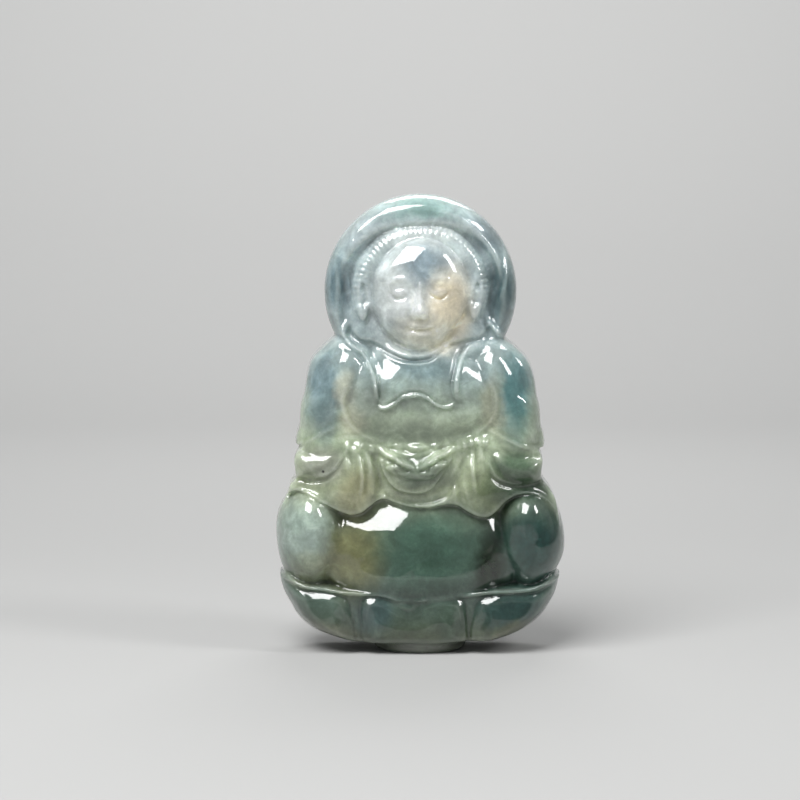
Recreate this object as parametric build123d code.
"""A seated, hooded figure on a lotus seat, carved in relief from one flat-backed piece of jade.

The stone is divided along the carver's grooves. Each carved region is one closed solid, and it meets
its neighbours face to face. Everything is drawn in the relief frame: X to the right, Y up the figure
and Z out of the stone towards the viewer. The last step stands the figure up, so that +Z is up and
the figure faces -Y. The origin is the middle of the foot's underside.
"""

from build123d import *

import os
from collections import namedtuple

# ---- Driving dimensions, in millimetres -------------------------------------------------------------
# A front is how far a region comes out, in front of the plane through the middle of the foot.

# Depth of the stone
BACK = 5.5              # from the foot's middle plane to the flat back
SLAB = 3.0              # thickness of the uncarved slab that every region stands on
TUCK = 0.6              # how far a region runs on under the one in front of it

# Foot
FOOT_WIDTH = 12.2
FOOT_DEPTH = 9.6
FOOT_HEIGHT = 1.5
FOOT_ROUND = 0.9        # rounded lower edge of the foot

# Lotus seat, a bowl whose rim dips in the middle
SEAT_WIDTH = 37.4       # from rim tip to rim tip
SEAT_HEIGHT = 8.5       # from the foot to the rim tips
SEAT_BOTTOM = 20.0      # width where the bowl meets the foot's level
SEAT_FRONT = 5.0
BOWL_BULGE = 1.9        # how far the bowl's side swells beyond a straight one
RIM_DIP = 2.4           # how much lower the rim is in the middle
RIM_TIP = 0.9           # height of the blunt end of each rim tip
TIP_SLOPE = 0.3         # how far the blunt end leans inwards
PETAL_WIDTH = 14.2      # middle petal
PETAL_SHIFT = -0.8      # how far to one side of the middle the middle petal was carved
PETAL_ROUND = 3.2       # corner radius of the middle petal
PETAL_CURL = 0.6        # how far the middle petal's edge stands above the rim's lowest point
BETWEEN_WIDTH = 1.5     # the sliver of petal seen between two petals

# Crossed legs
KNEE_SPAN = 38.4        # across both knees, the widest part of the stone
KNEE_WIDTH = 10.4
KNEE_HEIGHT = 14.2
KNEE_FRONT = 5.4
KNEE_SINK = 0.3         # how far a knee sits down behind the rim
LAP_HEIGHT = 12.8       # from the rim's lowest point to the top of the lap
LAP_SAG = 3.0           # how much lower the lap's ends are
LAP_FRONT = 6.0
THIGH_HEM = 5.3         # height of the thigh cloth's hem over the knee's middle
THIGH_REACH = 3.6       # how far past the knee's middle the hem reaches
HEM_FALL = 3.0          # how far the hem sinks towards the hanging cloth
THIGH_FRONT = 4.6

# Lower arms, hands and hanging cloth
WAIST = 26.7            # height of the groove between sleeve and cuff
WAIST_WIDTH = 32.6
WAIST_FRONT = 2.9
BELT_RISE = 0.6         # height of the belly's and the hanging cloth's edge over the waist groove
CUFF_LENGTH = 7.6
CUFF_HEIGHT = 4.6
CUFF_CROWN = 0.6        # how far the cuff's top swells over the waist groove
CUFF_ROUND = 0.5
CUFF_FRONT = 4.0
HANDS_WIDTH = 9.8       # both hands together
HANDS_HEIGHT = 6.2
HANDS_RISE = 0.7        # how far the hands reach over the waist groove
HANDS_FRONT = 5.4
HAND_SHIFT = 1.1        # each hand's shift from the middle, to its own side
HAND_LIFT = 0.7         # the left hand's rise and the right one's drop
HAND_STEP = 0.5         # how far the right hand lies in front of the left
DRAPE_WIDTH = 5.6       # hanging sleeve cloth
DRAPE_LENGTH = 9.2
DRAPE_ROUND = 2.4
DRAPE_FRONT = 4.5
LINING_INSET = 0.7      # depth of the notch that the sleeve's lining leaves in the outline

# Body
BELLY_WIDTH = 19.6
BELLY_HEIGHT = 11.4
BELLY_ROUND = 4.6
BELLY_FRONT = 3.7
BELLY_COVER = 2.0       # how far the sleeves run on under the belly's round side
CHEST_WIDTH = 10.6
CHEST_HEM = 5.4         # height of the bare chest's hem over the waist groove
CHEST_ROUND = 1.0
CHEST_FRONT = 3.3
LAPEL_TOP = 3.8         # width of a lapel at the neck
LAPEL_FOOT = 1.9        # width of a lapel at the hem
LAPEL_BOW = 0.5
LAPEL_FRONT = 4.1
SHOULDER_HEIGHT = 14.1  # from the waist groove to the neck line
NECK_NOTCH = 23.4       # width where the shoulders meet the hood
SHOULDER_SPAN = 28.4    # across the corners of the shoulders
SHOULDER_DROP = 2.7     # how far those corners lie under the neck line
ELBOW_SPAN = 30.8       # across both sleeves, half way up
SLEEVE_HEM = 3.6        # how far the sleeve's hem rises from its tip to the belly
SLEEVE_FRONT = 3.4
NECK_WIDTH = 9.6
NECK_HEIGHT = 2.6
NECK_SINK = 1.0         # how far the neck's middle lies under the neck line
NECK_FRONT = 2.6

# Head and hood
HOOD_RADIUS = 12.8
HOOD_SEAT = 6.4         # height of the hood's middle over the neck line
HOOD_FRONT = 1.3
HEAD_WIDTH = 12.4
HEAD_HEIGHT = 14.8
HEAD_FRONT = 5.6
CHIN_DROP = 1.2         # how far the head hangs below the neck line
HAIR_BAND = 2.7         # width of the band of hair round the face
HAIR_RISE = 0.4
HAIR_FRONT = 2.9
EAR_WIDTH = 2.4
EAR_LENGTH = 6.4
EAR_TUCK = 0.5          # how far the ear runs in behind the head
EAR_DROP = 0.9          # how far the ear's middle lies under the head's
EAR_FRONT = 2.5
VEIL_WIDTH = 1.9        # the hood's inner fold beside the hair
VEIL_TOP = 5.0          # how far over the head's middle the fold starts
VEIL_FRONT = 2.1

# How much wider than its region a dome is
TIGHT = 1.05            # nearly down to the slab at the region's edge
ROUND = 1.25
FLAT = 1.5

# ---- Levels and places worked out from the dimensions -----------------------------------------------

ledge = SLAB - BACK                       # the slab's front plane, where every region starts
prism_depth = 3 * (BACK + LAP_FRONT)      # beyond every surface

seat_tip = FOOT_HEIGHT + SEAT_HEIGHT
rim_middle = seat_tip - RIM_DIP
knee_x = (KNEE_SPAN - KNEE_WIDTH) / 2
knee_y = seat_tip - RIM_TIP - KNEE_SINK + KNEE_HEIGHT / 2
lap_top = rim_middle + LAP_HEIGHT
thigh_hem = knee_y + THIGH_HEM
belt = WAIST + BELT_RISE
hands_y = WAIST + HANDS_RISE - HANDS_HEIGHT / 2
cuff_low = WAIST - CUFF_HEIGHT
chest_hem = WAIST + CHEST_HEM
neck_line = WAIST + SHOULDER_HEIGHT
head_y = neck_line - CHIN_DROP + HEAD_HEIGHT / 2
hair_width = HEAD_WIDTH + 2 * HAIR_BAND
hair_height = HEAD_HEIGHT + 2 * HAIR_BAND
ear_x = HEAD_WIDTH / 2 + EAR_WIDTH / 2 - EAR_TUCK
ear_y = head_y - EAR_DROP
hood_y = neck_line + HOOD_SEAT

SIDES = {"left": -1, "right": 1}          # as the viewer sees them

Region = namedtuple("Region", "name outline crown")

# ---- Outlines in the relief frame's XY plane ---------------------------------------------------------


def oval(x, y, width, height):
    return Pos(x, y) * Ellipse(width / 2, height / 2)


def half_plane(y, below=True):
    """A large rectangle on one side of a level."""
    room = 4 * neck_line
    return Pos(0, y - room / 2 if below else y + room / 2) * Rectangle(room, room)


def inside(*edges):
    """The face inside a closed run of edges."""
    return Sketch() + make_face(Curve() + list(edges))


def mirrored(point):
    return Vector(-point.X, point.Y)


def bowl_outline():
    """The seat: a round underside from tip to tip, and a rim that dips in the middle."""
    low, blunt = Vector(SEAT_BOTTOM / 2, FOOT_HEIGHT), Vector(SEAT_WIDTH / 2, seat_tip - RIM_TIP)
    tip = Vector(SEAT_WIDTH / 2 - TIP_SLOPE, seat_tip)
    chord = blunt - low
    swell = (blunt + low) / 2 + Vector(chord.Y, -chord.X).normalized() * BOWL_BULGE
    return inside(
        Line(mirrored(low), low),
        ThreePointArc(low, swell, blunt),
        Line(blunt, tip),
        ThreePointArc(tip, Vector(0, rim_middle), mirrored(tip)),
        Line(mirrored(tip), mirrored(blunt)),
        ThreePointArc(mirrored(blunt), mirrored(swell), mirrored(low)),
    )


def petal_outline(width):
    """A petal with round shoulders that runs down into the foot."""
    height = 2 * SEAT_HEIGHT
    middle = rim_middle + PETAL_CURL - height / 2
    return Pos(PETAL_SHIFT, middle) * RectangleRounded(width, height, PETAL_ROUND)


def lap_outline():
    """The crossed shins: a wide barrel that sags towards the knees."""
    low, end = Vector(knee_x + TUCK, rim_middle - TUCK), Vector(knee_x + TUCK, lap_top - LAP_SAG)
    return inside(
        Line(mirrored(low), low),
        Line(low, end),
        ThreePointArc(end, Vector(0, lap_top), mirrored(end)),
        Line(mirrored(end), mirrored(low)),
    )


def thigh_outline(side):
    """Cloth over the thigh: its hem crosses the knee and sinks towards the hanging cloth."""
    outer = Vector(side * (knee_x + THIGH_REACH), thigh_hem)
    over_knee = Vector(side * knee_x, thigh_hem)
    inner = Vector(side * HANDS_WIDTH / 2, thigh_hem - HEM_FALL)
    inner_top = Vector(inner.X, WAIST)
    outer_top = Vector(side * (WAIST_WIDTH / 2 - LINING_INSET), WAIST)
    return inside(
        ThreePointArc(outer, over_knee, inner),
        Line(inner, inner_top),
        Line(inner_top, outer_top),
        Line(outer_top, outer),
    )


def waist_outline():
    """The robe that shows round the hands, down to the lap."""
    top, low = belt + 2 * TUCK, lap_top - LAP_SAG
    return Pos(0, (top + low) / 2) * Rectangle(HANDS_WIDTH + 2 * TUCK, top - low)


def cuff_outline(side):
    """The end of the lower arm: a leaf with its point towards the hands."""
    outer, point = side * WAIST_WIDTH / 2, side * (WAIST_WIDTH / 2 - CUFF_LENGTH)
    outer_top = Vector(outer, WAIST - CUFF_ROUND)
    outer_low = Vector(outer - side * CUFF_ROUND, cuff_low + CUFF_ROUND)
    inner = Vector(point, WAIST - CUFF_ROUND)
    middle = (outer + point) / 2
    return inside(
        ThreePointArc(outer_top, Vector(middle, WAIST + CUFF_CROWN), inner),
        ThreePointArc(inner, Vector(middle, cuff_low), outer_low),
        Line(outer_low, outer_top),
    )


def sleeve_hem(side, lift=0.0):
    """The sleeve's hem, from its tip at the waist to its end under the belly."""
    tip = Vector(side * WAIST_WIDTH / 2, WAIST + BELT_RISE + lift)
    end = Vector(side * (BELLY_WIDTH / 2 - BELLY_COVER), WAIST + SLEEVE_HEM + lift)
    return tip, end


def sleeve_outline(side):
    """The upper arm: from the neck over the shoulder and down to the flared hem."""
    tip, end = sleeve_hem(side)
    neck = Vector(side * NECK_NOTCH / 2, neck_line)
    shoulder = Vector(side * SHOULDER_SPAN / 2, neck_line - SHOULDER_DROP)
    elbow = Vector(side * ELBOW_SPAN / 2, (neck_line + WAIST) / 2)
    collar = Vector(side * CHEST_WIDTH / 2, neck_line)
    return inside(
        Spline(neck, shoulder, elbow, tip), Line(tip, end), Line(end, collar), Line(collar, neck)
    )


def lining_outline(side):
    """The inside of the wide sleeve, seen between its hem and the cuff."""
    tip, end = sleeve_hem(side, lift=TUCK)
    inner = Vector(side * HANDS_WIDTH / 2, WAIST - TUCK)
    outer = Vector(side * (WAIST_WIDTH / 2 - LINING_INSET), WAIST - TUCK)
    return inside(Polyline(tip, end, inner, outer, close=True))


def lapel_outline(side):
    """The robe's edge, from beside the neck down to the bare chest's hem."""
    low = Vector(side * (CHEST_WIDTH / 2 - LAPEL_BOW), chest_hem)
    high = Vector(side * (NECK_WIDTH / 2 + TUCK), neck_line)
    low_out = low + Vector(side * LAPEL_FOOT, 0)
    high_out = high + Vector(side * LAPEL_TOP, 0)
    bow = Vector(side * LAPEL_BOW, 0)
    return inside(
        ThreePointArc(low, (low + high) / 2 - bow, high),
        Line(high, high_out),
        ThreePointArc(high_out, (low_out + high_out) / 2 + bow, low_out),
        Line(low_out, low),
    )


def chest_outline():
    height = neck_line - chest_hem
    return Pos(0, chest_hem + height / 2) * RectangleRounded(CHEST_WIDTH, height, CHEST_ROUND)


def hood_outline():
    """A round hood, closed below by the shoulder line."""
    return Pos(0, hood_y) * Circle(HOOD_RADIUS) - half_plane(neck_line)


def hair_outline(width):
    """The oval outside of a band round the hair."""
    return oval(0, head_y + HAIR_RISE, width, width + hair_height - hair_width)


def veil_outline(side):
    """The hood's inner fold: a crescent beside the hair, from the temple to the shoulder."""
    crescent = hair_outline(hair_width + 2 * VEIL_WIDTH)
    one_side = Pos(side * HOOD_RADIUS, hood_y) * Rectangle(2 * HOOD_RADIUS, 4 * HOOD_RADIUS)
    return crescent & one_side & half_plane(head_y + VEIL_TOP) & hood_outline()


# ---- Solids ------------------------------------------------------------------------------------------


def dome(outline, front, spread=ROUND, spread_up=None):
    """An ellipsoid over the middle of an outline, wider than it by spread, out to the given front."""
    box = outline.bounding_box()
    middle = box.center()
    radii = (spread * box.size.X / 2, (spread_up or spread) * box.size.Y / 2, front - ledge)
    return Pos(middle.X, middle.Y, ledge) * scale(Sphere(1.0), by=radii)


def carve(outline, crown):
    """The part of a dome that stands on the slab inside an outline."""
    prism = Pos(0, 0, ledge) * extrude(outline, prism_depth)
    return prism & crown


def largest(outline):
    """A region without the crumbs that its neighbours' outlines leave behind."""
    return Sketch() + max(outline.faces(), key=lambda face: face.area)


def both_sides(name, outline_of, front, spread=ROUND):
    """One region on each side of the figure, from a function of the side."""
    outlines = {f"{name}_{word}": outline_of(side) for word, side in SIDES.items()}
    return [Region(node, outline, dome(outline, front, spread)) for node, outline in outlines.items()]


def ear_outline(side):
    return oval(side * ear_x, ear_y, EAR_WIDTH, EAR_LENGTH)


def drape_outline(side):
    place = Pos(side * (HANDS_WIDTH + DRAPE_WIDTH) / 2, belt - DRAPE_LENGTH / 2)
    return place * RectangleRounded(DRAPE_WIDTH, DRAPE_LENGTH, DRAPE_ROUND)


def knee_outline(side):
    return oval(side * knee_x, knee_y, KNEE_WIDTH, KNEE_HEIGHT)


def head_regions():
    """Head, ears, hair, neck, and the hood with its two inner folds."""
    head = oval(0, head_y, HEAD_WIDTH, HEAD_HEIGHT)
    band = hair_outline(hair_width)
    neck = oval(0, neck_line - NECK_SINK, NECK_WIDTH, 2 * NECK_HEIGHT)
    circle = Pos(0, hood_y) * Circle(HOOD_RADIUS)
    return [
        Region("head", head, dome(head, HEAD_FRONT, TIGHT)),
        *both_sides("ear", ear_outline, EAR_FRONT),
        Region("hair", band - half_plane(ear_y), dome(band, HAIR_FRONT)),
        Region("neck", neck, dome(neck, NECK_FRONT)),
        *both_sides("veil_fold", veil_outline, VEIL_FRONT, FLAT),
        Region("hood", hood_outline(), dome(circle, HOOD_FRONT, TIGHT)),
    ]


def chest_regions():
    """The lapels over the bare chest."""
    chest = chest_outline()
    return [
        *both_sides("lapel", lapel_outline, LAPEL_FRONT, FLAT),
        Region("chest", chest, dome(chest, CHEST_FRONT, FLAT)),
    ]


def hand_regions():
    """The right hand over the left one."""
    both = oval(0, hands_y, HANDS_WIDTH, HANDS_HEIGHT)
    width, height = HANDS_WIDTH - 2 * HAND_SHIFT, HANDS_HEIGHT - 2 * HAND_LIFT
    return [
        Region("hand_right", oval(HAND_SHIFT, hands_y - HAND_LIFT, width, height),
               dome(both, HANDS_FRONT)),
        Region("hand_left", oval(-HAND_SHIFT, hands_y + HAND_LIFT, width, height),
               dome(both, HANDS_FRONT - HAND_STEP)),
    ]


def arm_regions():
    """Hanging cloth, cuffs, belly and sleeves."""
    belly = Pos(0, belt + BELLY_HEIGHT / 2) * RectangleRounded(BELLY_WIDTH, BELLY_HEIGHT, BELLY_ROUND)
    return [
        *both_sides("drape", drape_outline, DRAPE_FRONT, FLAT),
        *both_sides("cuff", cuff_outline, CUFF_FRONT),
        Region("belly", belly, dome(belly, BELLY_FRONT, FLAT)),
        *both_sides("sleeve", sleeve_outline, SLEEVE_FRONT, FLAT),
    ]


def seat_regions():
    """The lotus seat: a middle petal, two side petals and the slivers between them."""
    bowl, petal = bowl_outline(), petal_outline(PETAL_WIDTH)
    between = petal_outline(PETAL_WIDTH + 2 * BETWEEN_WIDTH) - petal
    crown = dome(bowl, SEAT_FRONT, TIGHT, spread_up=2 * FLAT)
    found = [Region("petal_middle", bowl & petal, crown)]
    for word, side in SIDES.items():
        half = Pos(side * SEAT_WIDTH / 2, 0) * Rectangle(SEAT_WIDTH, 4 * seat_tip)
        found.append(Region(f"petal_between_{word}", bowl & between & half, crown))
        found.append(Region(f"petal_{word}", (bowl & half) - petal - between, crown))
    return found


def leg_regions():
    """What lies behind the rest: sleeve linings, thighs, knees, lap and the robe at the waist."""
    lap, waist = lap_outline(), waist_outline()
    return [
        *both_sides("sleeve_lining", lining_outline, WAIST_FRONT, FLAT),
        *both_sides("thigh", thigh_outline, THIGH_FRONT),
        *both_sides("knee", knee_outline, KNEE_FRONT, TIGHT),
        Region("lap", lap, dome(lap, LAP_FRONT)),
        Region("waist", waist, dome(waist, WAIST_FRONT, FLAT)),
    ]


def back_slab(outline):
    """The flat-backed slab behind every region, as wide as all their outlines together."""
    whole = Sketch() + make_face(largest(outline).face().outer_wire())
    return Pos(0, 0, -BACK) * extrude(whole, SLAB)


def foot():
    """The small oval foot that the stone stands on."""
    block = Rot(-90, 0, 0) * extrude(Ellipse(FOOT_WIDTH / 2, FOOT_DEPTH / 2), FOOT_HEIGHT)
    return fillet(block.faces().sort_by(Axis.Y)[0].edges(), FOOT_ROUND)


def main():
    os.makedirs("parts", exist_ok=True)
    front_to_back = (
        head_regions() + chest_regions() + hand_regions() + arm_regions() + seat_regions() + leg_regions()
    )
    taken, solids = Sketch(), {"foot": foot()}
    for region in front_to_back:
        solids[region.name] = carve(largest(region.outline - taken), region.crown)
        taken += region.outline
    solids["back_slab"] = back_slab(taken)
    for name, solid in solids.items():
        export_step(Rot(90, 0, 0) * solid, f"parts/{name}.step")


main()
